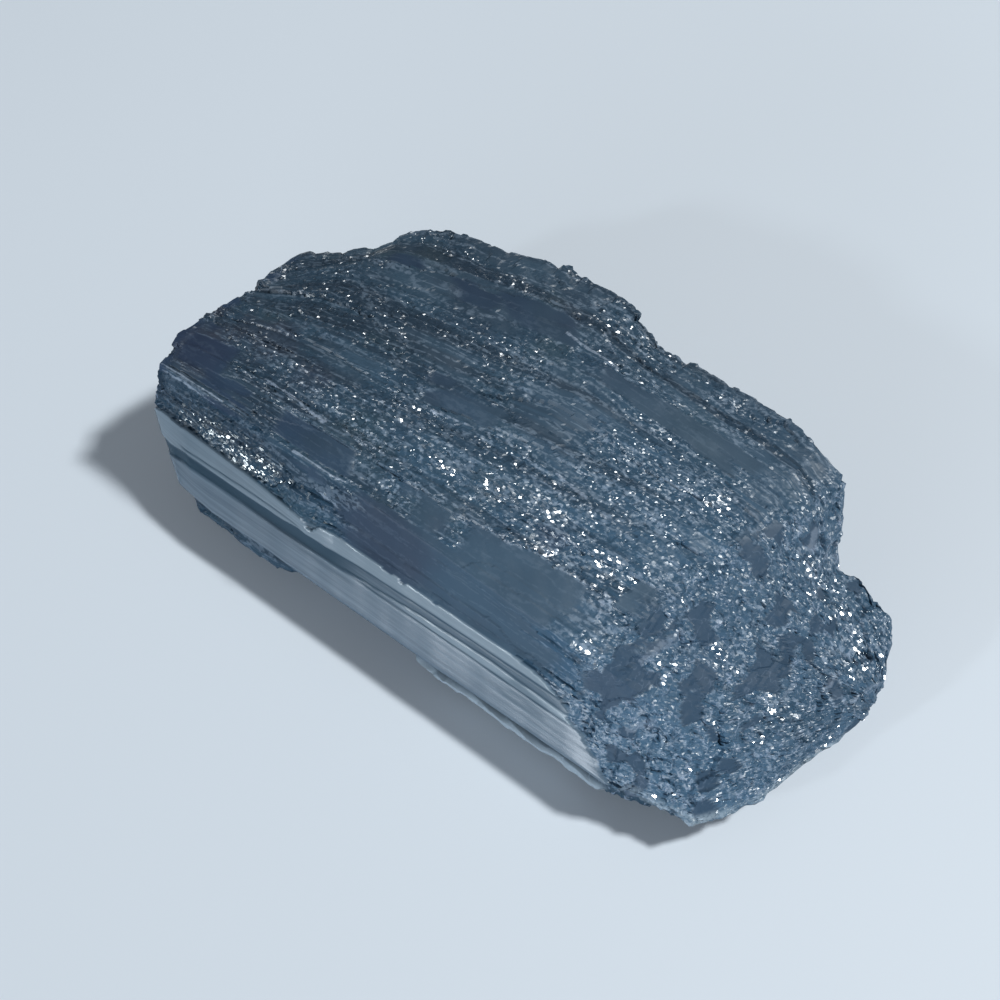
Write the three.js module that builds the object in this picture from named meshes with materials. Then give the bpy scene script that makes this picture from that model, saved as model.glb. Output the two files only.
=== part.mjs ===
// A chunk of black tourmaline (schorl): one broken length of a prismatic crystal lying on its side.
//
// Millimetres, +Z up. The crystal's long axis is X. The chunk rests on a broken underside that is
// flat at z = 0, and the origin is the middle of its bounding box at that level.
//
// The shape is a skin stretched over the crystal's long edges. Each edge runs from the left end to
// the right end, and the skin goes straight from one edge to the next, all the way round.
// At both ends the edges close in on one point, which makes the two broken ends.
//
//   front (-Y)  a glossy prism face between its keel, below, and its rim, above; an undercut below it
//   top         a broad, gently crowned face with long splinter steps, from front shoulder to back
//   left (-X)   a steep break across the prism, chamfered at the back
//   right (+X)  a coarse break that slopes down into a low rounded lobe
import * as THREE from 'three';

// Driving dimensions, mm.
const LENGTH_CELLS = 58;       // strips along the crystal
const CAP_CELLS = 3;           // rings on each broken end
const LUMP_HEIGHT = 0.12;      // how far the broken faces swell and sink
const GLOSSY_LUMP_SHARE = 0.2; // what is left of those lumps on the prism face
const FLAT_BELOW = 0.6;        // under this height nothing is lumpy, so the underside stays flat
const SCHORL_BLACK = 0x1c232c;

// The long edges, from the front foot over the top to the back foot. plan is [x, y] and height is
// [x, z], each from the left end to the right end. cells is how many strips lie between this edge
// and the next one.
const EDGES = [
  { name: 'front foot', cells: 1,
    plan: [[-26, -9], [-20, -12.4], [0, -13], [18, -12.8], [26, -9.5], [31, -3]],
    height: [[-26, 2], [-23, 0], [24, 0], [31, 2.4]] },
  { name: 'front lip', cells: 1,
    plan: [[-27.4, -14.9], [-24, -17.1], [-15, -17.3], [-12, -15.8], [0, -15.8], [3, -16.3], [20, -16.3],
      [26.4, -14], [29.2, -9.8], [31.4, -2]],
    height: [[-27.4, 4], [-24, 3], [20, 2.4], [28, 2.4], [31.4, 3]] },
  { name: 'front keel', cells: 2,
    plan: [[-27.9, -16], [-26.4, -16.9], [-22, -17.3], [-2, -16.8], [19.6, -16.9], [23.5, -15.8],
      [26.7, -15.2], [28.4, -13], [29.8, -9.8], [31.7, -2.4], [32.2, 0]],
    height: [[-27.9, 5.6], [-26, 5], [0, 4.9], [20, 5.2], [24, 4.6], [28, 3.6], [32.2, 3.8]] },
  { name: 'front groove', cells: 2,
    plan: [[-30, -14.9], [-26, -15.7], [0, -15.6], [15, -15.5], [22, -15], [26.4, -13.6], [29.6, -8],
      [32.2, -0.3]],
    height: [[-30, 7.4], [16, 7.3], [22, 6.4], [28, 5], [32.2, 4.4]] },
  { name: 'front rim', cells: 1,
    plan: [[-31.4, -14], [-28, -14.2], [-20, -14.5], [-13, -15], [-10, -14.5], [12, -14.3], [19, -14.2],
      [26, -11.8], [29.6, -6.8], [32, 0.2]],
    height: [[-31.4, 9.4], [12, 9.5], [19, 8.4], [28, 5.8], [32, 4.8]] },
  { name: 'front ledge', cells: 2,
    plan: [[-31.4, -13.7], [-28, -13.8], [-20, -14.1], [-13, -14.5], [-10, -14], [12, -13.8],
      [19, -13.7], [26, -11.3], [29.6, -6.5], [32, 0.4]],
    height: [[-31.4, 9.9], [12, 9.9], [19, 8.8], [28, 6], [32, 4.9]] },
  { name: 'front shoulder', cells: 4,
    plan: [[-31.2, -12.5], [-20, -12.3], [14, -12.4], [22, -11.3], [28.8, -6.3], [32, 0.8]],
    height: [[-31.2, 13.7], [-20, 13.9], [0, 13.6], [14, 12.9], [17, 12], [23, 9], [28, 6.8], [32, 5.2]] },
  { name: 'front of the top', cells: 4,
    plan: [[-32, -9.2], [14, -6.5], [24, -5.5], [31.9, 1.4]],
    height: [[-32, 14], [-20, 15.2], [0, 15.2], [16.5, 14.2], [21, 11.4], [28, 7.4], [31.9, 5.5]] },
  { name: 'crest', cells: 4,
    plan: [[-31.2, -3.8], [14, 1.5], [24, 1], [31.9, 2]],
    height: [[-31.2, 14], [-20, 16], [0, 16.3], [18.5, 15.2], [23, 11.4], [28, 7.8], [31.9, 5.7]] },
  { name: 'back of the top', cells: 3,
    plan: [[-30.6, 0], [-24, 6], [0, 9.4], [18, 8.4], [25, 5.2], [31.9, 2.6]],
    height: [[-30.6, 13.8], [-24, 15], [0, 15.6], [20, 14.6], [24, 10.8], [28, 8], [31.9, 5.9]] },
  { name: 'back shoulder', cells: 2,
    plan: [[-31, 1.8], [-30.4, 4.6], [-28, 6.6], [-25.2, 9.6], [-24, 13], [-21.5, 15.1], [-15.2, 16.3],
      [-12.5, 17.6], [-5, 18.2], [-3, 17.8], [0, 16.4], [2.2, 15.5], [9, 15.7], [14.3, 16.1], [18.3, 15],
      [20.8, 14.1], [21.9, 12.4], [24.6, 8.6], [26.5, 9.8], [29.7, 8.5], [31.3, 6.5], [32.3, 3.2]],
    height: [[-31, 13.4], [-20, 14], [18, 13.6], [21.9, 12.4], [24.6, 9], [26.5, 8], [31.3, 6.8],
      [32.3, 5.4]] },
  { name: 'back keel', cells: 2,
    plan: [[-31.6, 2.2], [-27, 7], [-23, 12.4], [-7, 17], [4, 15.6], [17, 14.8], [22.6, 11.4], [24.9, 9],
      [29.4, 8.2], [32.1, 4.2]],
    height: [[-31.6, 8], [0, 8.5], [20, 8], [25, 6], [32.1, 5]] },
  { name: 'back lip', cells: 1,
    plan: [[-31, 1], [-26, 6], [-21, 11.4], [-7, 15.4], [6, 14.4], [17, 13], [24.4, 8], [29.2, 6.8],
      [32.1, 3.2]],
    height: [[-31, 5], [-22, 3], [20, 3], [32.1, 3.6]] },
  { name: 'back foot', cells: 4,
    plan: [[-29.4, 0], [-24, 4.6], [-18, 9.6], [-7, 13], [6, 12.2], [17, 10.8], [24.4, 6], [31, 2]],
    height: [[-29.4, 2.5], [-26, 0], [22, 0], [31, 2.4]] },
];
const LEFT_POINT = new THREE.Vector3(-32.9, -5, 7.5);
const RIGHT_POINT = new THREE.Vector3(32.6, 1.8, 4.2);
const AXIS_HEIGHT = 7; // lumps push away from a line along X at this height

// The value at x of a line drawn straight through its knots, level beyond the first and the last.
function throughKnots(knots, x) {
  const next = knots.findIndex(([knotX]) => knotX > x);
  if (next === 0) return knots[0][1];
  if (next < 0) return knots.at(-1)[1];
  const [x0, v0] = knots[next - 1];
  const [x1, v1] = knots[next];
  return v0 + ((v1 - v0) * (x - x0)) / (x1 - x0);
}

// A point on an edge, at a fraction of the way from its left end to its right end.
function edgePoint(edge, along) {
  const x = THREE.MathUtils.lerp(edge.plan[0][0], edge.plan.at(-1)[0], along);
  return new THREE.Vector3(x, throughKnots(edge.plan, x), throughKnots(edge.height, x));
}

// Swell and sink of the broken faces: three crossed waves, each between -1 and 1, averaged.
function lumps({ x, y, z }) {
  const long = Math.sin(0.55 * x + 0.35 * y + 1) * Math.sin(0.6 * y - 0.5 * z + 2);
  const middle = Math.sin(1.15 * x - 0.8 * y + 0.6 * z + 0.5);
  const short = Math.sin(1.9 * y + 0.7 * x - 1.1 * z) * Math.sin(1.6 * x + 1.2 * z + 4);
  return (long + middle + short) / 3;
}

// One ring round the crystal, from edge to edge, with its lumps pushed out from the axis.
function ring(along) {
  const points = [];
  EDGES.forEach((edge, i) => {
    const from = edgePoint(edge, along);
    const to = edgePoint(EDGES[(i + 1) % EDGES.length], along);
    const glossy = edge.name === 'front keel' || edge.name === 'front groove';
    for (let cell = 0; cell < edge.cells; cell += 1) {
      const point = from.clone().lerp(to, cell / edge.cells);
      if (point.z > FLAT_BELOW) {
        const out = new THREE.Vector3(0, point.y, point.z - AXIS_HEIGHT).normalize();
        const height = LUMP_HEIGHT * (glossy ? GLOSSY_LUMP_SHARE : 1);
        point.addScaledVector(out, height * lumps(point));
      }
      points.push(point);
    }
  });
  return points;
}

// The rings of one broken end, from next to its middle point out to the crystal's last ring.
function capRings(outer, middle) {
  return Array.from({ length: CAP_CELLS - 1 }, (_, i) => {
    const share = (i + 1) / CAP_CELLS;
    return outer.map((point) => middle.clone().lerp(point, share));
  });
}

// Closes the rings, in order from left to right, and the two middle points into one skin.
function closedSkin(rings, first, last) {
  const around = rings[0].length;
  const positions = [first, ...rings.flat(), last].flatMap((p) => p.toArray());
  const at = (row, col) => 1 + row * around + (col % around);
  const end = 1 + rings.length * around;
  const faces = [];
  for (let col = 0; col < around; col += 1) {
    faces.push(0, at(0, col), at(0, col + 1));
    for (let row = 0; row < rings.length - 1; row += 1) {
      const [a, b] = [at(row, col), at(row, col + 1)];
      const [c, d] = [at(row + 1, col + 1), at(row + 1, col)];
      faces.push(a, d, c, a, c, b);
    }
    faces.push(end, at(rings.length - 1, col + 1), at(rings.length - 1, col));
  }
  const geometry = new THREE.BufferGeometry();
  geometry.setAttribute('position', new THREE.Float32BufferAttribute(positions, 3));
  geometry.setIndex(faces);
  return geometry;
}

function crystalGeometry() {
  const body = Array.from({ length: LENGTH_CELLS + 1 }, (_, i) => ring(i / LENGTH_CELLS));
  const left = capRings(body[0], LEFT_POINT);
  const right = capRings(body.at(-1), RIGHT_POINT).reverse();
  const geometry = closedSkin([...left, ...body, ...right], LEFT_POINT, RIGHT_POINT);
  geometry.computeBoundingBox();
  const { min, max } = geometry.boundingBox;
  geometry.translate(-(min.x + max.x) / 2, -(min.y + max.y) / 2, -min.z);
  geometry.computeVertexNormals();
  return geometry;
}

const schorl = new THREE.MeshStandardMaterial({ color: SCHORL_BLACK, roughness: 0.35, metalness: 0 });
const crystal = new THREE.Mesh(crystalGeometry(), schorl);
crystal.name = 'tourmaline_crystal';

const chunk = new THREE.Group();
chunk.add(crystal);
export default chunk;
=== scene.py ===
"""A broken length of black tourmaline (schorl), lying on its side on a pale table.

The crystal is one skin of numpy grids. Its long edges run from the left break to the right break, and
the skin is stretched straight from edge to edge round the crystal, as in the solid. On that skin lie
the marks of the real mineral: splinter steps and striations along the prism, grains on the breaks,
and fine growth lines on the one glossy prism face.
"""
import functools
import math

import bpy
import numpy as np
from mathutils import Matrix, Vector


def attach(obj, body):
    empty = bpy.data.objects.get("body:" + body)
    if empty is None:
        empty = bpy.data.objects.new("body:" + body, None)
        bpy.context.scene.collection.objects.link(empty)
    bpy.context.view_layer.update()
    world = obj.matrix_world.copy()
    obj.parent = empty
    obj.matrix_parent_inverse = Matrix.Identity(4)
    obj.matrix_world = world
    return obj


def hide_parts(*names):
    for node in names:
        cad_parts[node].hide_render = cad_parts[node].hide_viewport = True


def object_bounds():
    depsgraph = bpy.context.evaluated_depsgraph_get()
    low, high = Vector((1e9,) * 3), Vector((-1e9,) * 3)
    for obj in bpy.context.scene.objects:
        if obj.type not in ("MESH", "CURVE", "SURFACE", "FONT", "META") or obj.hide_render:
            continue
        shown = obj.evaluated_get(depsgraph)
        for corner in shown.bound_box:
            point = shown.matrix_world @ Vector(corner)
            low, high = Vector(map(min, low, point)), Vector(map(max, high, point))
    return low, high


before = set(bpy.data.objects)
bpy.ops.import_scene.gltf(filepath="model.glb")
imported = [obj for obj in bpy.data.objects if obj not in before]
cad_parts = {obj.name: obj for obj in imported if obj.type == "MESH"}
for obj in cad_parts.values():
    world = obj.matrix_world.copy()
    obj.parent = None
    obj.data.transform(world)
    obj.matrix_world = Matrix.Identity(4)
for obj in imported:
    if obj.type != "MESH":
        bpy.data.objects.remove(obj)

cad_low, cad_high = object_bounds()
MM = 0.001

# ---------------------------------------------------------------- the crystal's long edges
# From the front foot over the top to the back foot, in mm. plan is x, y and height is x, z, each from
# the left end to the right end. cells is how many strips of skin lie between this edge and the next.
EDGES = {
    "front foot": dict(
        cells=6, plan=[(-26, -9), (-20, -12.4), (0, -13), (18, -12.8), (26, -9.5), (31, -3)],
        height=[(-26, 2), (-23, 0), (24, 0), (31, 2.4)]),
    "front lip": dict(
        cells=12, plan=[(-27.4, -14.9), (-24, -17.1), (-15, -17.3), (-12, -15.8), (0, -15.8), (3, -16.3),
                        (20, -16.3), (26.4, -14), (29.2, -9.8), (31.4, -2)],
        height=[(-27.4, 4), (-24, 3), (20, 2.4), (28, 2.4), (31.4, 3)]),
    "front keel": dict(
        cells=24, plan=[(-27.9, -16), (-26.4, -16.9), (-22, -17.3), (-2, -16.8), (19.6, -16.9),
                        (23.5, -15.8), (26.7, -15.2), (28.4, -13), (29.8, -9.8), (31.7, -2.4), (32.2, 0)],
        height=[(-27.9, 5.6), (-26, 5), (0, 4.9), (20, 5.2), (24, 4.6), (28, 3.6), (32.2, 3.8)]),
    "front groove": dict(
        cells=22, plan=[(-30, -14.9), (-26, -15.7), (0, -15.6), (15, -15.5), (22, -15), (26.4, -13.6),
                        (29.6, -8), (32.2, -0.3)],
        height=[(-30, 7.4), (16, 7.3), (22, 6.4), (28, 5), (32.2, 4.4)]),
    "front rim": dict(
        cells=4, plan=[(-31.4, -14), (-28, -14.2), (-20, -14.5), (-13, -15), (-10, -14.5), (12, -14.3),
                       (19, -14.2), (26, -11.8), (29.6, -6.8), (32, 0.2)],
        height=[(-31.4, 9.4), (12, 9.5), (19, 8.4), (28, 5.8), (32, 4.8)]),
    "front ledge": dict(
        cells=20, plan=[(-31.4, -13.7), (-28, -13.8), (-20, -14.1), (-13, -14.5), (-10, -14), (12, -13.8),
                        (19, -13.7), (26, -11.3), (29.6, -6.5), (32, 0.4)],
        height=[(-31.4, 9.9), (12, 9.9), (19, 8.8), (28, 6), (32, 4.9)]),
    "front shoulder": dict(
        cells=32, plan=[(-31.2, -12.5), (-20, -12.3), (14, -12.4), (22, -11.3), (28.8, -6.3), (32, 0.8)],
        height=[(-31.2, 13.7), (-20, 13.9), (0, 13.6), (14, 12.9), (17, 12), (23, 9), (28, 6.8),
                (32, 5.2)]),
    "front of the top": dict(
        cells=38, plan=[(-32, -9.2), (14, -6.5), (24, -5.5), (31.9, 1.4)],
        height=[(-32, 14), (-20, 15.2), (0, 15.2), (16.5, 14.2), (21, 11.4), (28, 7.4), (31.9, 5.5)]),
    "crest": dict(
        cells=40, plan=[(-31.2, -3.8), (14, 1.5), (24, 1), (31.9, 2)],
        height=[(-31.2, 14), (-20, 16), (0, 16.3), (18.5, 15.2), (23, 11.4), (28, 7.8), (31.9, 5.7)]),
    "back of the top": dict(
        cells=38, plan=[(-30.6, 0), (-24, 6), (0, 9.4), (18, 8.4), (25, 5.2), (31.9, 2.6)],
        height=[(-30.6, 13.8), (-24, 15), (0, 15.6), (20, 14.6), (24, 10.8), (28, 8), (31.9, 5.9)]),
    "back shoulder": dict(
        cells=18, plan=[(-31, 1.8), (-30.4, 4.6), (-28, 6.6), (-25.2, 9.6), (-24, 13), (-21.5, 15.1),
                        (-15.2, 16.3), (-12.5, 17.6), (-5, 18.2), (-3, 17.8), (0, 16.4), (2.2, 15.5),
                        (9, 15.7), (14.3, 16.1), (18.3, 15), (20.8, 14.1), (21.9, 12.4), (24.6, 8.6),
                        (26.5, 9.8), (29.7, 8.5), (31.3, 6.5), (32.3, 3.2)],
        height=[(-31, 13.4), (-20, 14), (18, 13.6), (21.9, 12.4), (24.6, 9), (26.5, 8), (31.3, 6.8),
                (32.3, 5.4)]),
    "back keel": dict(
        cells=14, plan=[(-31.6, 2.2), (-27, 7), (-23, 12.4), (-7, 17), (4, 15.6), (17, 14.8),
                        (22.6, 11.4), (24.9, 9), (29.4, 8.2), (32.1, 4.2)],
        height=[(-31.6, 8), (0, 8.5), (20, 8), (25, 6), (32.1, 5)]),
    "back lip": dict(
        cells=8, plan=[(-31, 1), (-26, 6), (-21, 11.4), (-7, 15.4), (6, 14.4), (17, 13),
                        (24.4, 8), (29.2, 6.8), (32.1, 3.2)],
        height=[(-31, 5), (-22, 3), (20, 3), (32.1, 3.6)]),
    "back foot": dict(
        cells=14, plan=[(-29.4, 0), (-24, 4.6), (-18, 9.6), (-7, 13), (6, 12.2), (17, 10.8), (24.4, 6),
                        (31, 2)],
        height=[(-29.4, 2.5), (-26, 0), (22, 0), (31, 2.4)]),
}
EDGE_NAMES = list(EDGES)
LEFT_POINT = np.array([-32.9, -5, 7.5])    # where the skin closes on the left break
RIGHT_POINT = np.array([32.6, 1.8, 4.2])   # and on the tip of the right lobe
LENGTH_CELLS = 300                         # strips of skin along the crystal
CAP_CELLS = 22                             # rings on each end


def edge_line(edge, along):
    """Points on one long edge: x runs straight between its ends, y and z go straight between knots."""
    plan_x, plan_y = np.array(edge["plan"], float).T
    height_x, height_z = np.array(edge["height"], float).T
    x = plan_x[0] + (plan_x[-1] - plan_x[0]) * along
    return np.stack([x, np.interp(x, plan_x, plan_y), np.interp(x, height_x, height_z)], -1)


def bare_skin():
    """Rows of points round the crystal, from the left point to the right point, as rows x columns x 3.

    Between two edges a row is straight. On a cap a point goes straight from the end's middle point
    out to the first or last row.
    """
    along = np.linspace(0, 1, LENGTH_CELLS + 1)
    lines = [edge_line(edge, along) for edge in EDGES.values()]
    columns = []
    for line, following, edge in zip(lines, lines[1:] + lines[:1], EDGES.values()):
        share = (np.arange(edge["cells"]) / edge["cells"])[None, :, None]
        columns.append(line[:, None] * (1 - share) + following[:, None] * share)
    body = np.concatenate(columns, 1)
    share = (np.arange(CAP_CELLS) / CAP_CELLS)[:, None, None]
    left = LEFT_POINT * (1 - share) + body[0] * share
    right = (RIGHT_POINT * (1 - share) + body[-1] * share)[::-1]
    return np.concatenate([left, body, right])


# ---------------------------------------------------------------- repeatable chance
def chance(cell, seed):
    """A repeatable number from 0 to 1 for each whole-number cell: the fraction of a large sine."""
    return np.abs(np.sin(cell @ np.array([127.1, 311.7, 74.7]) + 57.3 * seed) * 43758.5453) % 1


def hills(place, seed):
    """Soft hills between -1 and 1, one unit across: chances at whole numbers, eased between them."""
    low = np.floor(place)
    part = place - low
    part = part * part * (3 - 2 * part)
    total = 0
    for corner in np.ndindex(2, 2, 2):
        share = np.prod(np.where(corner, part, 1 - part), -1)
        total = total + share * chance(low + np.array(corner), seed)
    return 2 * total - 1


def rough_hills(place, seed, layers=4):
    """Hills on hills: each layer is half the size and half the height of the one before."""
    return sum(hills(place * 2 ** n, seed + n) / 2 ** n for n in range(layers)) / (2 - 2 ** (1 - layers))


def chips(place, seed):
    """The nearest chip centre to each place: its offset, how near its border is, three chances of its own.

    One centre stands at a chance spot in each unit cube. Nearness is the second smallest distance to
    a centre less the smallest, so it is 0 on the border between two chips.
    """
    low = np.floor(place)
    nearest = np.full(place.shape[:-1], 9.0)
    second = nearest.copy()
    offset = np.zeros(place.shape)
    own = np.zeros(place.shape)
    for step in np.ndindex(3, 3, 3):
        cell = low + np.array(step) - 1
        centre = cell + np.stack([chance(cell, seed + n) for n in range(3)], -1)
        gap = place - centre
        distance = np.linalg.norm(gap, axis=-1)
        closer = distance < nearest
        second = np.where(closer, nearest, np.minimum(second, distance))
        nearest = np.where(closer, distance, nearest)
        offset = np.where(closer[..., None], gap, offset)
        own = np.where(closer[..., None], np.stack([chance(cell, seed + n) for n in (5, 6, 7)], -1), own)
    return offset, second - nearest, own


def fade(value, start, end):
    """0 before start, 1 after end, eased between."""
    part = np.clip((value - start) / (end - start), 0, 1)
    return part * part * (3 - 2 * part)


# ---------------------------------------------------------------- marks on the skin
# Sizes in mm; three numbers are along the prism, across it and up.
LUMP_HEIGHT = 0.12
PLANK_LENGTH = 17
PLANK_WIDTH = 2.0
SPLINTER_SIZE = (7, 0.75)                     # long, wide
BLOCK_SIZE = 3.4
SHARD_SIZE = 1.5
RIDGE_SIZE = np.array([1.2, 3.0, 1.8])
BIG_GRAIN = np.array([1.1, 0.72, 0.72])
SMALL_GRAIN = np.array([0.65, 0.42, 0.42])
UNDERSIDE_TOP = 0.02                          # skin below this height is the flat underside
MARKS_GROW = (0.05, 1.6)                      # heights between which the marks come in to full depth

SMOOTH_SHARDS = 0.13                         # share of the shards on the coarse breaks that broke smooth
GLINT_TOP = np.array([0.43, -0.04, 0.90])    # which way the grains that flash together face
GLINT_FRONT = np.array([0.12, -0.71, 0.70])  # and on the strip above the glossy face
# Planks that the break left smooth, in mm: middle x, y; half length; half width.
SMOOTH_PLANKS = [(-29.4, -9.4, 3.4, 2.0), (-24.5, -11.4, 3.4, 0.9), (-14.6, -10.8, 4.2, 1.3),
                 (-2.5, -13.2, 7.5, 2.3), (6.3, -10.3, 5.6, 1.8), (5.5, -13.6, 6.0, 1.5),
                 (7.5, 9.0, 8.8, 1.2), (-7.5, 10.6, 5.0, 1.2), (-18, 9.4, 5.5, 0.9), (-7.5, -1.0, 4.5, 0.7),
                 (16.8, -11.8, 1.8, 1.8), (15.6, -7.2, 2.1, 1.3), (21.7, -8.6, 1.2, 2.2),
                 (24.6, -3.0, 1.5, 1.6), (18.6, -14.6, 1.2, 0.8), (19.5, 2.5, 1.8, 1.2)]
# Patches with a faint violet-brown tinge, in mm: middle x, y; half length; half width.
WARM_PATCHES = [(-29.6, -9.2, 3.6, 2.4), (-5, -13.3, 4.5, 1.4), (6.4, -6.4, 1.3, 1.0)]
# Patches where the break is all grains, in mm: middle x, y; half length; half width.
GRAIN_PATCHES = [(-23, -13.6, 7.5, 1.0), (-22, -6.5, 6, 2.2), (-10, -5.5, 6, 2.4), (1, -6.2, 6, 1.8),
                 (8, -5.5, 5, 2.4), (-24, 2.5, 6, 2.5), (10, 3.5, 6, 2.6), (-9, 5.5, 6, 1.8)]
# Clusters of grains that flash white, in mm: middle x, y; half length; half width.
FLASHES = [(-23, -13.7, 7.0, 0.8), (-20.8, -10.3, 1.3, 0.8), (-20, -6.2, 2.0, 0.8), (-18, -8.6, 1.3, 0.6),
           (-10, -4.8, 1.3, 1.6), (-7.2, -5.7, 1.7, 0.8), (-4.5, -6.6, 1.4, 0.7), (0.8, -5.8, 2.3, 1.2),
           (4.8, -4.8, 1.7, 1.1), (6.2, -7.7, 2.2, 0.7), (10.8, -6, 2.5, 1.0), (15, 4, 1.1, 0.8),
           (13.8, -11.8, 1.3, 1.0), (21, -5.2, 1.4, 0.9), (17, -14.6, 1.6, 0.5), (19.4, -8.8, 0.7, 1.4),
           (26.5, -4.5, 1.6, 1.0), (-3, 14.5, 1.6, 1.0), (25, 6, 2.2, 1.4), (30, 4, 1.2, 1.6)]
SCAR_STANDS = 0.6             # share of its listed height that a scar stands up
RIDGE_HALF_WIDTH = 0.16       # its ridge is at least this wide, half of it; its pale line may be narrower
# Pale scars: narrow ridges from x, y to x, y in mm; half width; height.
SCARS = [(-31, -12.3, -24.0, -12.15, 0.08, 0.16), (-30.8, -12.62, -24.5, -12.52, 0.035, 0.16),
         (-15.9, -12.25, -10.6, -12.1, 0.08, 0.20), (-12.9, -13.2, -10.2, -13.3, 0.08, 0.12),
         (3.4, -1.9, 6.6, -2.2, 0.16, 0.24), (-0.1, -2.3, 1.8, -2.4, 0.14, 0.15),
         (-5, 10.8, 0.8, 10.2, 0.16, 0.20), (-2.6, 13.2, -0.6, 11.8, 0.12, 0.15),
         (-8.6, -3.3, -6, -2.8, 0.12, 0.12), (-6, -2.8, 1, -1.2, 0.12, 0.12),
         (-5.8, 3.8, -3.2, 0.6, 0.10, 0.10), (14, 6, 16.6, 4.9, 0.14, 0.12),
         (-27.5, -5.5, -24.5, -6.1, 0.16, 0.10), (-22, -8.7, -15, -9.0, 0.14, 0.14),
         (18.6, -6.2, 17.6, -9.9, 0.26, 0.20), (12.4, -7.5, 13, -9.5, 0.20, 0.12),
         (27.2, -2, 26.9, -4.6, 0.16, 0.20), (29.2, 1.2, 29.1, -0.8, 0.25, 0.14),
         (31.9, 3.5, 31.3, 0.5, 0.15, 0.15), (31, 2.8, 30.2, -0.2, 0.12, 0.12),
         (19.3, -13.6, 20.6, -12.3, 0.25, 0.16), (18.9, -14.9, 20.2, -14.3, 0.2, 0.15),
         (21.9, 8.3, 22.4, 6.6, 0.26, 0.20), (23.0, 9.2, 23.6, 8.0, 0.20, 0.15)]
# Lines along the glossy face: x in mm, and the share of the way from keel to rim that each has there.
GROOVE_FLOOR = ([-28.6, -27.8, -26.6, -23, -15, -7, 1, 5],
                [0.22, 0.33, 0.40, 0.43, 0.435, 0.47, 0.49, 0.50])
GROOVE_TOP = ([-28.6, -26.6, -19, -15, -13.4, -10.2, -7, -3, 1, 10],
              [0.47, 0.59, 0.61, 0.66, 0.73, 0.695, 0.74, 0.77, 0.79, 0.82])
BLADE = ([-9, -5, 0, 7, 12.5], [0.50, 0.55, 0.63, 0.675, 0.655])
SHORT_LINE = ([-27, -21, -15], [0.655, 0.715, 0.785])
LOW_LINE = 0.36
# Where the thin flake under the glossy face ends, at x in mm, counted in edges up from the front foot.
FLAKE_TOP = ([0, 9, 19], [1.40, 1.56, 1.74])
FLAKE_FOOT = 1.12


def lumps(place):
    """Broad swell and sink, as on the solid: three crossed waves, each between -1 and 1, averaged."""
    x, y, z = np.moveaxis(place, -1, 0)
    long = np.sin(0.55 * x + 0.35 * y + 1) * np.sin(0.6 * y - 0.5 * z + 2)
    middle = np.sin(1.15 * x - 0.8 * y + 0.6 * z + 0.5)
    short = np.sin(1.9 * y + 0.7 * x - 1.1 * z) * np.sin(1.6 * x + 1.2 * z + 4)
    return (long + middle + short) / 3


def outward(skin):
    """Unit normals: along the rows crossed with round the crystal."""
    down_rows = np.gradient(skin, axis=0)
    round_columns = np.roll(skin, -1, 1) - np.roll(skin, 1, 1)
    normal = np.cross(down_rows, round_columns)
    return normal / np.maximum(np.linalg.norm(normal, axis=-1, keepdims=True), 1e-9)


def spread(x, y=0.0, z=0.0):
    """Three coordinates as one array of places, for hills and chips."""
    return np.stack(np.broadcast_arrays(x, y, z), -1).astype(float)


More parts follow.
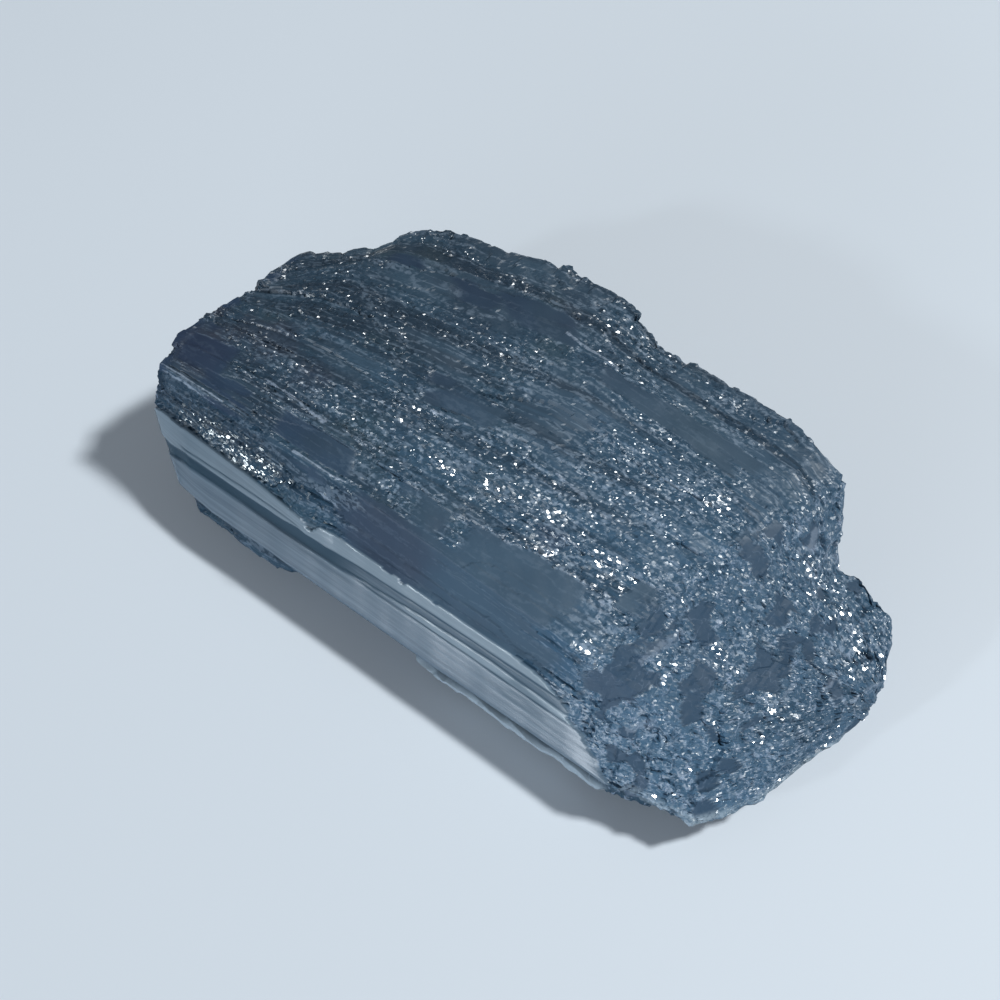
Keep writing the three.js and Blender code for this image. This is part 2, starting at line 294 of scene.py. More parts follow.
class Where:
    """What lies where on the bare skin: coordinates along and round it, and a 0 to 1 share of each zone."""

    def __init__(self, skin):
        self.skin = skin
        self.x, self.y, self.z = np.moveaxis(skin, -1, 0)
        cells = np.array([edge["cells"] for edge in EDGES.values()])
        number = np.repeat(np.arange(len(cells)), cells)
        number = number + np.concatenate([np.arange(n) / n for n in cells])
        self.number = np.broadcast_to(number, self.x.shape)
        middle_row = skin[len(skin) // 2]
        step = np.linalg.norm(np.roll(middle_row, -1, 0) - middle_row, axis=-1)
        self.across = np.broadcast_to(np.cumsum(step) - step, self.x.shape)
        row = np.arange(len(skin))[:, None]
        self.left_cap = (row < CAP_CELLS) + 0 * self.x
        self.left_break = 1 - fade(row, CAP_CELLS + 1, CAP_CELLS + 7) + 0 * self.x
        self.glossy_face()
        self.right_break()

    def between(self, first, last):
        """1 on the strips of skin from edge first to edge last, 0 elsewhere."""
        return ((self.number >= EDGE_NAMES.index(first)) & (self.number < EDGE_NAMES.index(last))) * 1.0

    def near(self, edge, reach):
        """1 on an edge, eased to 0 at that many strips of skin from it."""
        return 1 - fade(np.abs(self.number - EDGE_NAMES.index(edge)), 0.3 * reach, reach)

    def glossy_face(self):
        """The prism face: from keel to a chipped, wavy rim, and cut off aslant by the right break."""
        keel, rim = EDGE_NAMES.index("front keel"), EDGE_NAMES.index("front rim")
        self.up_face = (self.number - keel) / (rim - keel)
        wave = 0.05 * rough_hills(spread(self.x / 4), 3) + 0.04 * hills(spread(self.x / 0.9), 5)
        notch = 0.20 * np.exp(-((self.x + 12.2) / 0.6) ** 2) + 0.09 * np.exp(-((self.x + 2.5) / 0.5) ** 2)
        top = np.interp(self.x, [-29, -26, 8, 13], [0.96, 1.05, 1.05, 0.90]) + wave - notch
        end = np.interp(self.up_face, [0, 0.14, 0.45, 0.61, 0.85, 1.1], [19.9, 19, 16.6, 14.8, 14.0, 10])
        end = end + 0.35 * hills(spread(self.across * 3), 8)
        self.gloss = self.between("front keel", "front ledge") * (self.up_face < top) * (self.x < end)
        self.gloss = self.gloss * (1 - self.left_cap)

    def right_break(self):
        """The coarse break: right of a line that runs back across the top and down the front."""
        top_end = np.interp(self.y, [-13, 0, 15], [14.5, 18.0, 21.0])
        start = self.x + 1.3 * rough_hills(self.skin / 4, 21)
        self.break_end = fade(start, top_end - 1.5, top_end + 1) * (1 - self.gloss)
        self.coarse = np.clip(self.break_end + self.left_break, 0, 1) * (1 - self.gloss)
        self.along_prism = (1 - self.coarse) * (1 - self.gloss)
        self.top = self.between("front rim", "back keel")
        self.front_strip = self.between("front rim", "front shoulder") * (1 - self.break_end)
        self.under = self.between("front foot", "front keel")

    def patches(self, listed, softness, seed, spot=None):
        """Share of the listed long rounded patches on the top: 1 inside, eased to 0 over the softness.

        spot is where to look, if not at the skin itself: a chip is in or out as a whole by its centre.
        """
        spot = self.skin if spot is None else spot
        wobble = 0.35 * rough_hills(spot / np.array([3, 1.6, 1.6]), seed)
        total = 0 * self.x
        for x, y, half_length, half_width in listed:
            reach = np.hypot((spot[..., 0] - x) / half_length, (spot[..., 1] - y) / half_width)
            total = np.maximum(total, 1 - fade(reach + wobble, 1 - softness, 1 + softness))
        return total * self.top

    def scars(self):
        """Height of the listed narrow ridges, in mm, and how near each place is to the line of one.

        Both are bells across the ridge, with a slightly wavy course.
        """
        total, near = 0 * self.x, 0 * self.x
        wavy = 0.04 * hills(self.skin / 1.5, 23), 0.05 * hills(self.skin / 1.5, 24)
        for x0, y0, x1, y1, half_width, height in SCARS:
            run = np.array([x1 - x0, y1 - y0])
            from_start = np.stack([self.x - x0 + wavy[0], self.y - y0 + wavy[1]], -1)
            share = np.clip(from_start @ run / (run @ run), 0, 1)
            off = np.linalg.norm(from_start - share[..., None] * run, axis=-1)
            ridge = np.exp(-(off / max(half_width, RIDGE_HALF_WIDTH)) ** 2)
            total = np.maximum(total, SCAR_STANDS * height * ridge)
            near = np.maximum(near, min(1, 0.5 + 3 * height) * np.exp(-(off / (2.2 * half_width)) ** 2))
        return total * self.top, near * self.top


def plank_chips(where):
    """Planks: chips 17 mm long and 2 mm wide along the prism, with slightly wavy borders."""
    line = spread(where.x / PLANK_LENGTH, where.across / PLANK_WIDTH, 0.5)
    line = line + 0.10 * spread(hills(where.skin / 4, 31), hills(where.skin / 2, 32))
    offset, _, own = chips(line, 41)
    return offset, own


def prism_marks(where, smooth, planks):
    """Planks, splinters and striations along the prism, in mm.

    A plank and a splinter are long chips with a level and a lean of their own. A striation is a hill
    drawn out along x. Smooth planks keep only a faint striation.
    """
    x, across = where.x, where.across
    offset, own = planks
    plank = (own[..., 0] - 0.5) * 0.36 + offset[..., 1] * (own[..., 1] - 0.5) * 0.45
    fine_line = spread(x / SPLINTER_SIZE[0], across / SPLINTER_SIZE[1], 0.5)
    fine_line = fine_line + 0.12 * spread(hills(where.skin / 2, 33))
    fine_offset, _, fine_own = chips(fine_line, 51)
    splinter = (fine_own[..., 0] - 0.5) * 0.12 + fine_offset[..., 1] * (fine_own[..., 1] - 0.5) * 0.18
    striation = 0.025 * hills(spread(x / 22, across / 0.62), 61)
    kept = 1 - 0.85 * smooth
    return (1 - 0.6 * smooth) * plank + kept * splinter + (0.3 + 0.7 * kept) * striation


def grain_marks(where):
    """Grains of the breaks in mm: small chips, each with a level and a lean of its own, in two sizes."""
    big_offset, _, big_own = chips(where.skin / BIG_GRAIN, 81)
    small_offset, _, small_own = chips(where.skin / SMALL_GRAIN, 91)
    big = (big_own[..., 0] - 0.5) * 0.11 + (big_offset * (big_own - 0.5)).sum(-1) * 0.24
    small = (small_own[..., 0] - 0.5) * 0.04 + (small_offset * (small_own - 0.5)).sum(-1) * 0.12
    return big + small


def block_marks(where, blocks):
    """Blocks and ridges of the coarse breaks, in mm: large chips, and chips drawn out across the prism."""
    block_offset, block_own = blocks
    block = (block_own[..., 0] - 0.5) * 0.34 + (block_offset * (block_own - 0.5)).sum(-1) * 0.9
    ridge_offset, _, ridge_own = chips(where.skin / RIDGE_SIZE, 111)
    ridge = (ridge_own[..., 0] - 0.5) * 0.14 + (ridge_offset * (ridge_own - 0.5)).sum(-1) * 0.40
    return block + ridge


def face_marks(where):
    """The glossy face: relief in mm, how dark its grooves are painted as shade, how pale its upper band is
    painted as highlight.

    Fine growth lines run all along. A wide groove starts at the left end; to the right it shallows,
    and a pale blade of the face stands up in it. Heights on the face are a share from keel to rim.
    """
    x, up = where.x, where.up_face
    growth = 0.003 * hills(spread(x / 40, where.across / 0.35), 121)
    growth = growth + 0.002 * hills(spread(x / 25, where.across / 0.16), 122)
    wander = 0.008 * hills(spread(x / 5), 131)

    def height(at_x, share):
        """A line straight between its knots, with the shared wander."""
        return np.interp(x, at_x, share) + wander

    def line(middle, half_width, start, end):
        """A bell across the face round middle, eased in and out along x."""
        return np.exp(-((up - middle) / half_width) ** 2) * fade(x, *start) * (1 - fade(x, *end))

    low, high, blade = height(*GROOVE_FLOOR), height(*GROOVE_TOP), height(*BLADE)
    floor = low + (blade - low) * fade(x, -9, -6)
    wide = fade(up, floor - 0.015, floor + 0.015) * (1 - fade(up, high - 0.015, high + 0.015))
    shallow = fade(x, -10, -5)
    thin = line(height(*SHORT_LINE), 0.016, (-28, -26.5), (-14, -12.5))
    thin = thin + line(high - 0.01, 0.016, (-10, -6), (12, 15)) + line(blade, 0.016, (-9, -6), (13, 15))
    thin = thin + line(low + 0.005, 0.014, (-8, -5), (14, 17))
    thin = thin + 0.35 * line(LOW_LINE, 0.02, (-14, -12), (-8, -6))
    faint = 0.45 * fade(hills(spread(x / 2.5, up * 14), 132), 0.3, 0.9) * fade(x, 4, 9)
    groove = np.clip(wide * (0.95 - 0.60 * shallow) + thin + faint, 0, 1)
    # pale: painted highlight on the upper band, and between the low line and the blade
    pale = np.maximum(fade(up, high, high + 0.05),
                      fade(up, low, low + 0.03) * (1 - fade(up, blade - 0.03, blade)) * fade(x, -4, 2))
    bulge = 0.26 * np.exp(-((x + 1) / 11) ** 2) * np.clip(1 - 2 * up, 0, 1)
    relief = growth + bulge - 0.16 * wide * (1 - 0.6 * shallow) - 0.05 * thin + 0.16
    return relief, groove, pale


def flake_marks(where):
    """The thin flake that stands off under the glossy face, and the gap above it, painted dark as shade.

    Gives the shares of the stretch it lies on, of the flake and of the gap, and how far it stands off
    in mm. Its borders are straight lines with small hills, and it tapers towards both ends.
    """
    x, number = where.x, where.number
    stretch = fade(x, -0.5, 1) * (1 - fade(x, 19, 20)) * where.under
    top = np.interp(x, *FLAKE_TOP) + 0.03 * hills(spread(x / 2.2), 153)
    taper = fade(x, -1.5, 6) * (1 - fade(x, 14, 21))
    foot = FLAKE_FOOT - 0.45 * taper + 0.14 * rough_hills(spread(x / 2.5), 155)
    flake = stretch * (1 - fade(number, top - 0.05, top + 0.05)) * fade(number, foot - 0.08, foot + 0.08)
    gap = stretch * fade(number, top, top + 0.08) * (1 - fade(number, 1.93, 1.98))
    gap = gap * (0.35 + 0.65 * taper)
    stands = 0.52 + 0.35 * (1 - fade(x, 0, 4)) + 0.20 * rough_hills(spread(x / 2.5), 154)
    return stretch, flake, gap, stands


def pits(where):
    """Shallow pits in the flat underside, in mm: hills folded up, kept only in patches."""
    return 0.06 * np.abs(hills(where.skin / 1.5, 141)) * fade(np.abs(hills(where.skin / 4, 142)), 0.25, 0.5)


def shades(where):
    """Broad shares for the finish: how pale the dashes are, how dull the skin is, how much painted haze."""
    # pale: dashes grow towards the right; they are thinned on the shaded front strip and left off the shaded
    # underside, a painted shade
    pale = (0.28 + 0.72 * fade(where.x, -24, 2)) * (1 - 0.75 * where.front_strip) * (1 - where.under)
    dull = np.maximum(where.front_strip, where.under) * (1 - where.gloss)
    back = fade(where.y, 4, 13) * where.along_prism
    front_break = fade(-where.y, 5, 12) * where.break_end
    # lobe: share of a painted haze of light, paler to the lit right end, less on back faces, none on the
    # shaded underside
    lobe = fade(where.x, -28, 26) * (1 - 0.45 * back) * (1 + 0.30 * front_break) * (1 - where.under)
    return dict(pale=pale, dull=dull, lobe=lobe)


def marked_skin():
    """The skin with every mark pushed out or in along its normal, and what the finish needs to know."""
    skin = bare_skin()
    where = Where(skin)
    planks = plank_chips(where)
    warp = spread(hills(skin / 1.3, 151), hills(skin / 1.3, 152), hills(skin / 1.3, 153))
    blocks = chips(skin / BLOCK_SIZE + 0.13 * warp, 101)[::2]
    shards = chips(skin / SHARD_SIZE + 0.22 * warp, 161)[::2]
    to_plank = spread(where.x, where.y - planks[0][..., 1] * PLANK_WIDTH, where.z)
    flat_plank = where.patches(SMOOTH_PLANKS, 0.10, 76, to_plank) * where.along_prism
    flat_block = where.patches(SMOOTH_PLANKS, 0.02, 76, skin - shards[0] * SHARD_SIZE)
    flat_block = np.maximum(flat_block, (shards[1][..., 2] > 1 - SMOOTH_SHARDS) * 1.0) * where.coarse
    smooth = np.maximum(flat_plank, flat_block)
    grainy = where.patches(GRAIN_PATCHES, 0.5, 77)
    flash = where.patches(FLASHES, 0.5, 78)
    warm = where.patches(WARM_PATCHES, 0.5, 79)
    ridge, scar = where.scars()
    prism = prism_marks(where, smooth, planks)
    block = block_marks(where, blocks)
    face, groove, upper = face_marks(where)

    patch = rough_hills(skin / np.array([6, 2.6, 3.2]), 71)
    grain = fade(patch + 0.6 * grainy + 0.3 * flash, -0.45, 0.35)
    grain = np.clip(grain + where.coarse, 0, 1) * (1 - 0.95 * smooth) * (1 - where.gloss)
    crumble = where.near("back shoulder", 0.40) * np.clip(0.9 + 1.2 * patch, 0.25, 1)
    crumble = crumble + 0.3 * where.near("front lip", 0.8)
    crumble = crumble * where.along_prism * (1 - smooth)
    crumbs = (shards[1][..., 0] - 0.4) * 0.55 + (shards[0] * (shards[1] - 0.5)).sum(-1) * 0.7

    stretch, flake, gap, stands = flake_marks(where)
    grain = grain * (1 - stretch)

    push = LUMP_HEIGHT * lumps(skin) * (1 - 0.8 * where.gloss)
    push = push + where.along_prism * prism * (1 - 0.7 * crumble) * (1 - 0.9 * stretch)
    push = push + 0.75 * where.coarse * block * (1 - 0.4 * smooth) * (1 - 0.7 * where.under)
    push = push + crumble * crumbs
    push = push + grain * (1 + 0.6 * where.coarse) * grain_marks(where) + where.gloss * face + ridge
    push = push + stands * flake - 0.40 * gap
    push = push * fade(where.z, *MARKS_GROW)
    marked = skin + push[..., None] * outward(skin)
    marked[..., 2] = np.where(where.z < UNDERSIDE_TOP, pits(where), np.maximum(marked[..., 2], 0))

    border = where.near("front keel", 0.5) * fade(where.x, 20, 22) * (0.45 + 0.4 * hills(skin / 1.6, 156))
    glint = np.where(where.front_strip[..., None] > 0.5, GLINT_FRONT, GLINT_TOP)
    facts = dict(gloss=where.gloss, grain=grain, groove=groove * where.gloss, coarse=where.coarse,
                 flake=flake, gap=gap, scar=scar, smooth=smooth, flash=flash,
                 upper=upper * where.gloss, warm=warm, border=border, **shades(where),
                 glint=glint, prism=spread(where.x, where.across, 0) * MM)
    return marked, facts


def fitted(points):
    """Points in mm, scaled on each axis by under 1 % and moved to fill the solid's box, in metres.

    The marks stand out from the skin, so without this the crystal comes out up to 0.3 mm too large.
    """
    low, high = points.min(0), points.max(0)
    box_low, box_high = np.array(cad_low), np.array(cad_high)
    return box_low + (points - low) / (high - low) * (box_high - box_low)


def closed_mesh(name, rings, first, last):
    """A mesh from rings of points, left to right, closed by a fan of triangles at both ends."""
    count, around = rings.shape[:2]
    points = fitted(np.concatenate([[first], rings.reshape(-1, 3), [last]]))
    column = np.arange(around)
    after = (column + 1) % around
    start = 1 + around * np.arange(count - 1)[:, None]
    quads = np.stack([start + column, start + around + column, start + around + after, start + after], -1)
    quads = quads.reshape(-1, 4)
    left = np.stack([0 * column, 1 + column, 1 + after], -1)
    end = 1 + around * (count - 1)
    right = np.stack([0 * column + len(points) - 1, end + after, end + column], -1)
    corners = np.concatenate([left.ravel(), quads.ravel(), right.ravel()])
    sizes = np.concatenate([np.full(around, 3), np.full(len(quads), 4), np.full(around, 3)])
    mesh = bpy.data.meshes.new(name)
    mesh.vertices.add(len(points))
    mesh.vertices.foreach_set("co", points.ravel().astype(np.float32))
    mesh.loops.add(len(corners))
    mesh.loops.foreach_set("vertex_index", corners.astype(np.int32))
    mesh.polygons.add(len(sizes))
    mesh.polygons.foreach_set("loop_start", (np.cumsum(sizes) - sizes).astype(np.int32))
    mesh.update(calc_edges=True)
    mesh.validate()
    return mesh


def on_points(values, shape):
    """Values on the whole grid as one value for each point of the closed mesh."""
    inner = np.broadcast_to(values, shape + values.shape[2:])
    ends = inner[0].mean(0, keepdims=True), inner[-1].mean(0, keepdims=True)
    return np.concatenate([ends[0], inner[1:-1].reshape((-1,) + values.shape[2:]), ends[1]])


def crystal():
    """The visible crystal: the marked skin as one closed mesh, with its facts as point attributes."""
    marked, facts = marked_skin()
    mesh = closed_mesh("schorl_crystal", marked[1:-1], marked[0].mean(0), marked[-1].mean(0))
    for fact, values in facts.items():
        flat = on_points(values, marked.shape[:2]).astype(np.float32)
        kind, slot = ("FLOAT_VECTOR", "vector") if flat.ndim > 1 else ("FLOAT", "value")
        mesh.attributes.new(fact, kind, "POINT").data.foreach_set(slot, flat.ravel())
    gloss = on_points(facts["gloss"], marked.shape[:2])
    corner = np.zeros(len(mesh.loops), np.int32)
    mesh.loops.foreach_get("vertex_index", corner)
    first_corner = np.zeros(len(mesh.polygons), np.int32)
    mesh.polygons.foreach_get("loop_start", first_corner)
    mesh.polygons.foreach_set("use_smooth", gloss[corner[first_corner]] > 0.5)
    piece = bpy.data.objects.new("schorl_crystal", mesh)
    bpy.context.scene.collection.objects.link(piece)
    return piece


# ---------------------------------------------------------------- finish
def linear(hex_colour):
    """An sRGB hex colour such as #1c232c as linear red, green, blue and a full alpha."""
    parts = [int(hex_colour[n:n + 2], 16) / 255 for n in (1, 3, 5)]
    return [c / 12.92 if c <= 0.04045 else ((c + 0.055) / 1.055) ** 2.4 for c in parts] + [1]


# Each node that the finish is made of: its type, the inputs in the order they are given, the output that
# is used, and its settings.
NODES = {
    "place": ("ShaderNodeTexCoord", [], "Object", {}),
    "normal": ("ShaderNodeNewGeometry", [], "Normal", {}),
    "fact": ("ShaderNodeAttribute", [], "Fac", {}),
    "fact vector": ("ShaderNodeAttribute", [], "Vector", {}),
    "noise": ("ShaderNodeTexNoise", ["Vector", "Scale", "Detail", "Roughness"], 0, {}),
    "noise colour": ("ShaderNodeTexNoise", ["Vector", "Scale", "Detail"], "Color", {}),
    "cell middle": ("ShaderNodeTexVoronoi", ["Vector", "Scale"], "Position", {}),
    "cell colour": ("ShaderNodeTexVoronoi", ["Vector", "Scale"], "Color", {}),
    "cell edge": ("ShaderNodeTexVoronoi", ["Vector", "Scale"], 0, {"feature": "DISTANCE_TO_EDGE"}),
    "chance": ("ShaderNodeTexWhiteNoise", ["Vector"], "Value", {"noise_dimensions": "3D"}),
    "three chances": ("ShaderNodeTexWhiteNoise", ["Vector"], "Color", {"noise_dimensions": "3D"}),
    "red": ("ShaderNodeSeparateColor", [0], 0, {}),
    "green": ("ShaderNodeSeparateColor", [0], 1, {}),
    "blue": ("ShaderNodeSeparateColor", [0], 2, {}),
    "times": ("ShaderNodeMath", [0, 1], 0, {"operation": "MULTIPLY"}),
    "times plus": ("ShaderNodeMath", [0, 1, 2], 0, {"operation": "MULTIPLY_ADD"}),
    "less": ("ShaderNodeMath", [0, 1], 0, {"operation": "SUBTRACT"}),
    "larger": ("ShaderNodeMath", [0, 1], 0, {"operation": "MAXIMUM"}),
    "unsigned": ("ShaderNodeMath", [0], 0, {"operation": "ABSOLUTE"}),
    "is below": ("ShaderNodeMath", [0, 1], 0, {"operation": "LESS_THAN"}),
    "ramp": ("ShaderNodeMapRange", [0, 1, 2, 3, 4], 0, {"interpolation_type": "SMOOTHSTEP"}),
    "stretch": ("ShaderNodeVectorMath", [0, 1], 0, {"operation": "MULTIPLY"}),
    "scale": ("ShaderNodeVectorMath", [0, "Scale"], 0, {"operation": "SCALE"}),
    "vector plus": ("ShaderNodeVectorMath", [0, 1], 0, {"operation": "ADD"}),
    "vector less": ("ShaderNodeVectorMath", [0, 1], 0, {"operation": "SUBTRACT"}),
    "unit": ("ShaderNodeVectorMath", [0], 0, {"operation": "NORMALIZE"}),
    "dot": ("ShaderNodeVectorMath", [0, 1], 1, {"operation": "DOT_PRODUCT"}),
    "mix": ("ShaderNodeMix", [0, 2, 3], 0, {}),
    "mix colours": ("ShaderNodeMix", [0, 6, 7], 2, {"data_type": "RGBA"}),
    "mix vectors": ("ShaderNodeMix", [0, 4, 5], 1, {"data_type": "VECTOR"}),
    "bump": ("ShaderNodeBump", ["Height", "Normal", "Strength", "Distance"], 0, {}),
    "stone": ("ShaderNodeBsdfPrincipled",
              ["Base Color", "Roughness", "Normal", "Specular IOR Level", "IOR"], 0, {}),
    "surface": ("ShaderNodeOutputMaterial", ["Surface"], None, {}),
}

# Sizes of the patterns in the finish, in mm.
FACET_SIZE = 0.21         # facets of the grains
DASH_SIZE = 0.38          # crushed grain borders
DASH_ZONE = 3             # over which the dashes come and go
SPLINTER_WIDTH = 0.9
SPLINTER_WAVE = 2.5       # how long the waves in a splinter's border are
SPLINTER_SHAKE = 0.6      # and how high
STREAK_WIDTH = 1.8
WISP_SIZE = 1.3
GROWTH_WIDTH = 0.30       # of the growth lines, with finer ones between them
TINT_SIZE = 8
BUMP_HEIGHT = 0.05

SCHORL_IOR = 1.65


def add(tree, name, *inputs, **settings):
    """Adds the node of that name in NODES, and gives back the output of it that is used.

    An input is another node's output, a value, or an sRGB hex colour.
    """
    kind, sockets, output, usual = NODES[name]
    node = tree.nodes.new(kind)
    for setting, value in (usual | settings).items():
        setattr(node, setting, value)
    for socket, source in zip(sockets, inputs):
        if isinstance(source, bpy.types.NodeSocket):
            tree.links.new(source, node.inputs[socket])
        else:
            node.inputs[socket].default_value = linear(source) if isinstance(source, str) else source
    return node.outputs[output] if node.outputs else node


def per_mm(size):
    """The node scale that gives a pattern that size in mm: one over it in metres."""
    return 1 / (size * MM)


def product(node, *factors):
    """The factors multiplied, from the first to the last."""
    return functools.reduce(lambda total, factor: node("times", total, factor), factors)


def coated(node, colour, coats):
    """The colour with each coat mixed over it in turn: a coat is its share and its colour."""
    for share, over in coats:
        colour = node("mix colours", share, colour, over)
    return colour


def patterns(node, fact):
    """Everything in the finish that repeats over the stone: noises and cells on its object coordinates.

    Those that follow the prism are on its own coordinates, along and across, drawn out along it.
    """
    place = node("place")
    prism = node("fact vector", attribute_name="prism")
    middle = node("cell middle", node("stretch", place, (0.75, 1, 1)), per_mm(FACET_SIZE))
    dashed = node("stretch", place, (0.70, 1, 1))
    shaken = node("noise colour", place, per_mm(SPLINTER_WAVE), 3)
    shaken = node("scale", shaken, SPLINTER_SHAKE * MM)
    splinters = node("vector plus", node("stretch", prism, (0.06, 1, 1)), shaken)
    broken = node("stretch", node("vector plus", shaken, place), (1, 0.6, 0.8))
    wisp = node("noise", broken, per_mm(WISP_SIZE), 2)
    streak = node("noise", node("stretch", prism, (0.05, 1, 1)), per_mm(STREAK_WIDTH), 3)
    clean = node("less", 1.0, node("larger", fact["coarse"], fact["smooth"]))
    return dict(
        facet_chances=node("three chances", middle), facet_chance=node("chance", middle),
        crumb=node("noise", dashed, per_mm(DASH_SIZE), 3, 0.6),
        zone=node("noise", dashed, per_mm(DASH_ZONE), 3),
        edge=node("cell edge", splinters, per_mm(SPLINTER_WIDTH)),
        splinter=node("cell colour", splinters, per_mm(SPLINTER_WIDTH)),
        streak=product(node, node("ramp", streak, 0.36, 0.54, 0.50, 0.0), clean),
        wisp=node("unsigned", node("less", wisp, 0.5)),
        growth=node("noise", node("stretch", prism, (0.02, 1, 1)), per_mm(GROWTH_WIDTH), 4, 0.7),
        tint=node("noise colour", place, per_mm(TINT_SIZE), 3))


def body_colour(node, fact, pattern):
    """The stone under its pale marks: blue-black, tinted in broad patches, paler towards the right end as
    painted haze.

    Smooth facets of the coarse break and clean streaks are darker, and smooth planks at the left are
    more violet.
    """
    lobe, coarse, smooth = fact["lobe"], fact["coarse"], fact["smooth"]
    tint = pattern["tint"]
    tone = product(node, node("red", pattern["splinter"]), node("less", 0.5, node("times", coarse, 0.5)))
    violet = node("less", 1.0, node("times", lobe, 1.6), use_clamp=True)
    return coated(node, "#233748", [
        (node("ramp", node("red", tint), 0.38, 0.62), "#2b4355"),
        (node("ramp", node("green", tint), 0.55, 0.68, 0.0, 0.5), "#2c3d40"),
        (node("ramp", node("blue", tint), 0.57, 0.70, 0.0, 0.40), "#3c3542"),
        (tone, "#374f61"),
        # painted haze: the blue-grey veil that light and glare give the lit right end, painted into the
        # colour; it also greys the smooth planks below
        (node("times", lobe, 0.78), "#42617a"),
        (node("times", smooth, node("times plus", lobe, 0.40, 0.12)), "#4a5763"),
        (product(node, smooth, coarse, 0.92), "#2e465c"),
        (pattern["streak"], "#1c2937"),
        (node("times", fact["warm"], 0.34), "#332f40"),
        (product(node, violet, smooth, 0.5), "#22304a")])


def dash_share(node, fact, pattern):
    """Pale dashes, crushed grain borders partly painted as glints: short, among grains, few on clean streaks.
    """
    return product(node, node("ramp", pattern["crumb"], 0.50, 0.64),
                   node("ramp", pattern["zone"], 0.40, 0.60, 0.20, 1.0),
                   fact["grain"], fact["pale"], node("times plus", pattern["streak"], -1.2, 1.0))


def marked_colour(node, fact, pattern, body, dashes):
    """The body with its pale marks: dashes and splinter borders, partly painted glints and edge highlights,
    scars, wisps on the coarse breaks, the lower border, the flake painted pale as a painted reflection,
    and last painted shade in the dark gap above the flake.
    """
    coarse, crumb = fact["coarse"], pattern["crumb"]
    broken = node("ramp", crumb, 0.42, 0.55)
    facet = node("times", fact["smooth"], coarse)
    # splinter_border: pale lines on splinter edges, partly crushed grain and partly painted edge highlights
    splinter_border = product(
        node, node("ramp", pattern["edge"], 0.02, 0.09, 1.0, 0.0), broken,
        node("times plus", fact["lobe"], 0.5, 0.5), node("less", 0.55, node("times", coarse, 0.55)),
        node("less", 1.0, node("times", fact["smooth"], 0.8)))
    scar = node("ramp", node("times plus", crumb, 0.9, fact["scar"]), 1.14, 1.40)
    crumbled = node("less", coarse, node("times", facet, 0.8))
    return coated(node, body, [
        # dashes: pale crushed grain, partly painted glints
        (node("times", dashes, 0.70), "#8b9db0"),
        (splinter_border, "#8394a6"),
        (node("times", scar, node("times plus", coarse, -0.30, 0.62)), "#96a3b4"),
        (product(node, node("ramp", pattern["wisp"], 0.003, 0.016, 1.0, 0.0), broken,
                 node("times", crumbled, 0.75)), "#8b9bb0"),
        (node("times", fact["border"], node("ramp", crumb, 0.35, 0.55, 0.25)), "#a9b8c2"),
        # flake: painted pale, a painted reflection on the black flake
        (node("times", fact["flake"], 0.8), "#97a5b0"),
        # gap: painted shade in the recess above the flake
        (fact["gap"], "#10181f")])


def glossy_colour(node, fact, pattern):
    """The glossy face in painted reflection: grey, growth lines, pale upper band, dark grooves, paler at
    right.
    """
    upper = node("times", fact["upper"], node("times plus", fact["lobe"], 0.50, 0.28))
    # the grey base is a painted reflection of the pale surroundings in the black face
    return coated(node, "#596a79", [
        (node("ramp", pattern["growth"], 0.35, 0.65), "#455666"),
        # upper: a painted highlight along the rim and on the blade
        (upper, "#81929d"),
        # groove: painted shade, the grooves facing away from the light
        (fact["groove"], "#2d4150"),
        # paler at right: painted haze
        (node("times", fact["lobe"], 0.25), "#7e909f")])


def facets(node, fact, pattern):
    """Each facet's own lean as a normal, and which facets flash.

    A facet leans away from the surface by chance. A flashing one faces the cluster's shared way instead,
    and leans a little from that. Facets turned well away from the shared way never flash.
    """
    surface = node("normal")
    glint = node("fact vector", attribute_name="glint")
    lean = node("vector less", pattern["facet_chances"], (0.5, 0.5, 0.5))
    lean_by = node("times", node("times plus", fact["grain"], 0.60, 0.03), node("less", 1.0, fact["gloss"]))
    leaned = node("vector plus", surface, node("scale", lean, lean_by))
    shared = node("scale", lean, node("times plus", fact["dull"], -0.16, 0.38))
    shared = node("vector plus", shared, glint)
    odds = product(node, node("times plus", fact["flash"], 0.48, 0.034),
                   node("times plus", fact["coarse"], -0.55, 1.0), fact["grain"],
                   node("ramp", node("dot", surface, glint), 0.35, 0.65))
    flashing = node("is below", pattern["facet_chance"], odds)
    return node("unit", node("mix vectors", flashing, leaned, shared)), flashing


def roughness(node, fact, dashes, flashing):
    """Planks 0.50, grains 0.24, rougher on the coarse breaks and dashes; the glossy face and flashes less."""
    rough = node("ramp", fact["grain"], 0.0, 1.0, 0.50, 0.24)
    rough = node("times plus", fact["coarse"], 0.10, rough)
    rough = node("times plus", dashes, 0.25, rough)
    rough = node("mix", fact["gloss"], rough, 0.22)
    return node("mix", flashing, rough, 0.16)


def shine(node, fact, flashing):
    """How strongly the skin mirrors: 0.5, less in grooves, where dull, on smooth planks, and at right."""
    level = node("times plus", fact["groove"], -0.44, 0.5)
    level = node("times plus", fact["dull"], -0.42, level)
    level = node("times plus", product(node, node("less", 1.0, fact["dull"]), fact["smooth"]), -0.28, level)
    level = node("times plus", product(node, fact["gloss"], fact["lobe"]), -0.20, level)
    return node("mix", flashing, level, 0.6)


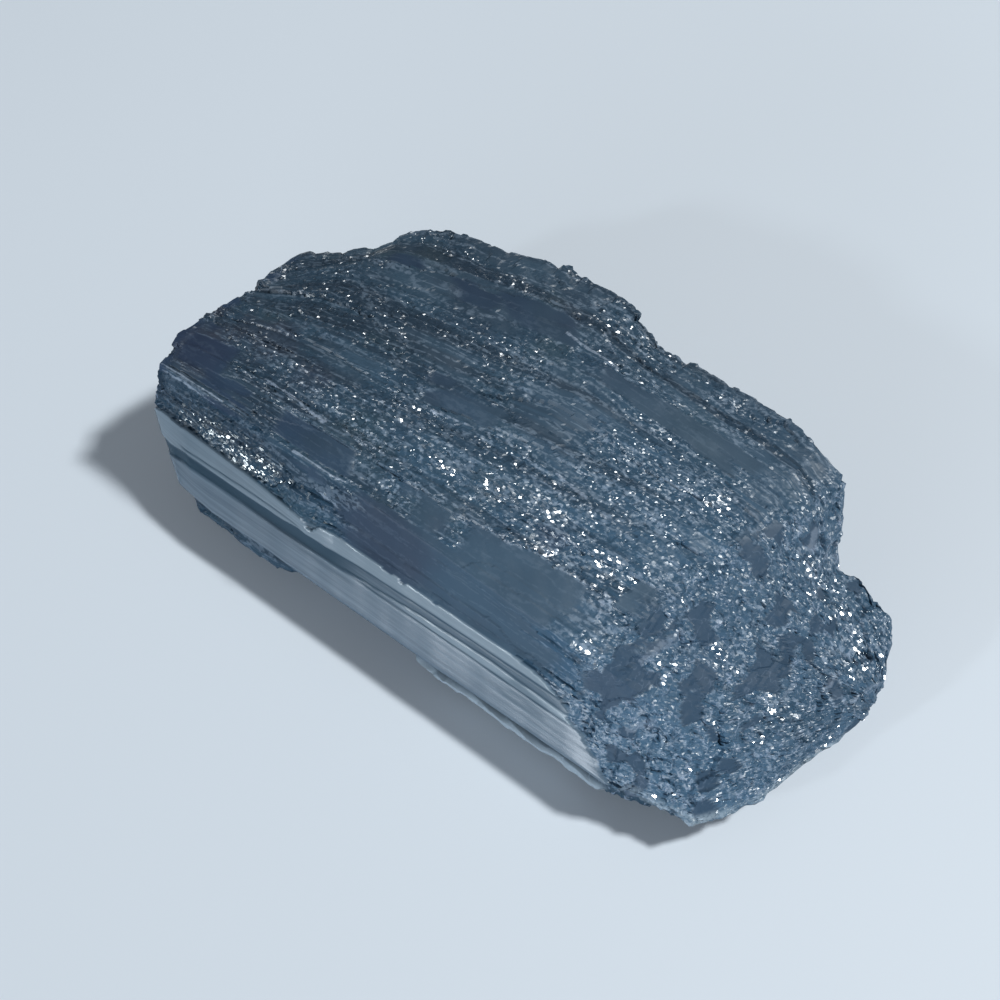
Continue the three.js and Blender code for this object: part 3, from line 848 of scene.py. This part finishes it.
def schorl_finish():
    """Schorl: an iron-rich tourmaline, black and glassy, broken by hand and not polished.

    Its IOR is 1.65 and it lets no light through. The prism face is glossy and planks are satin; breaks
    are a crumble of facets, each a small mirror at its own lean. Crushed grain borders and splinter edges
    are paler, partly from the crush and partly as painted glints and edge highlights; the breaks have a
    painted blue-grey haze of light, and iron staining warms it here and there.
    """
    material = bpy.data.materials.new("schorl_raw_break")
    material.use_nodes = True
    tree = material.node_tree
    tree.nodes.clear()
    node = functools.partial(add, tree)
    fact = {name: node("fact", attribute_name=name)
            for name in ("gloss", "grain", "groove", "upper", "coarse", "scar", "smooth", "flash", "border",
                         "lobe", "pale", "dull", "warm", "flake", "gap")}
    pattern = patterns(node, fact)
    dashes = dash_share(node, fact, pattern)
    body = marked_colour(node, fact, pattern, body_colour(node, fact, pattern), dashes)
    colour = node("mix colours", fact["gloss"], body, glossy_colour(node, fact, pattern))
    normal, flashing = facets(node, fact, pattern)
    normal = node("bump", pattern["growth"], normal, 0.16, BUMP_HEIGHT * MM)
    stone = node("stone", colour, roughness(node, fact, dashes, flashing), normal,
                 shine(node, fact, flashing), SCHORL_IOR)
    node("surface", stone)
    return material


stone = crystal()
stone.data.materials.append(schorl_finish())
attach(stone, "root")
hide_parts("tourmaline_crystal")


# ---------------------------------------------------------------- table, light and camera
TABLE_HALF = 2.0          # m
CAMERA_VIEW = (38, 56, 127.3 * MM, (-1.75 * MM, -2.85 * MM, 7.9 * MM))   # turns, distance, target
SENSOR_WIDTH = 36         # mm
LENS = 54                 # mm
LAMP_TARGET = (0, 0, 8 * MM)
# Lamps: name, azimuth, elevation, distance, width and height in m, power in W, colour.
LAMPS = [("key", 130, 55, 1.0, 0.11, 0.11, 8.8, "#f7fbfc"),
         ("front_card", 4, 7, 0.8, 0.7, 0.18, 4.5, "#e8f0f8"),
         ("glint_lamp", -20, 24, 1.0, 0.07, 0.07, 1.5, "#eefaff")]
ROOM_LIGHT = "#d6dde6"
ROOM_STRENGTH = 0.17


def table_top():
    """A wide pale table under the crystal: matt white laminate."""
    mesh = bpy.data.meshes.new("table")
    corners = [(x * TABLE_HALF, y * TABLE_HALF, 0) for x, y in ((-1, -1), (1, -1), (1, 1), (-1, 1))]
    mesh.from_pydata(corners, [], [(0, 1, 2, 3)])
    piece = bpy.data.objects.new("table", mesh)
    bpy.context.scene.collection.objects.link(piece)
    material = bpy.data.materials.new("matt_white_laminate")
    material.use_nodes = True
    shader = material.node_tree.nodes["Principled BSDF"]
    shader.inputs["Base Color"].default_value = linear("#d9e0e8")
    shader.inputs["Roughness"].default_value = 0.6
    mesh.materials.append(material)


def facing(azimuth, elevation, distance, target):
    """A place that far from the target, and the turn that looks back at it. Azimuth 0 is on -Y."""
    a, e = math.radians(azimuth), math.radians(elevation)
    back = np.array([math.sin(a) * math.cos(e), -math.cos(a) * math.cos(e), math.sin(e)])
    return np.array(target) + back * distance, (math.pi / 2 - e, 0, a)


def lamp(name, azimuth, elevation, distance, width, height, power, colour):
    """A soft light of that width and height, looking at the crystal's middle."""
    light = bpy.data.lights.new(name, "AREA")
    light.shape = "RECTANGLE"
    light.size = width
    light.size_y = height
    light.energy = power
    light.color = linear(colour)[:3]
    piece = bpy.data.objects.new(name, light)
    piece.location, piece.rotation_euler = facing(azimuth, elevation, distance, LAMP_TARGET)
    bpy.context.scene.collection.objects.link(piece)


def room_light(colour, strength):
    """The even light that comes from the whole room."""
    world = bpy.data.worlds.new("studio")
    world.use_nodes = True
    background = world.node_tree.nodes["Background"]
    background.inputs["Color"].default_value = linear(colour)
    background.inputs["Strength"].default_value = strength
    bpy.context.scene.world = world


def camera():
    """The camera, from in front and above, a little to the right."""
    data = bpy.data.cameras.new("camera")
    data.sensor_width = SENSOR_WIDTH
    data.lens = LENS
    data.clip_start = 0.005
    piece = bpy.data.objects.new("camera", data)
    piece.location, piece.rotation_euler = facing(*CAMERA_VIEW)
    bpy.context.scene.collection.objects.link(piece)
    bpy.context.scene.camera = piece


table_top()
for row in LAMPS:
    lamp(*row)
room_light(ROOM_LIGHT, ROOM_STRENGTH)
camera()

bpy.context.scene.view_settings.view_transform = "Standard"
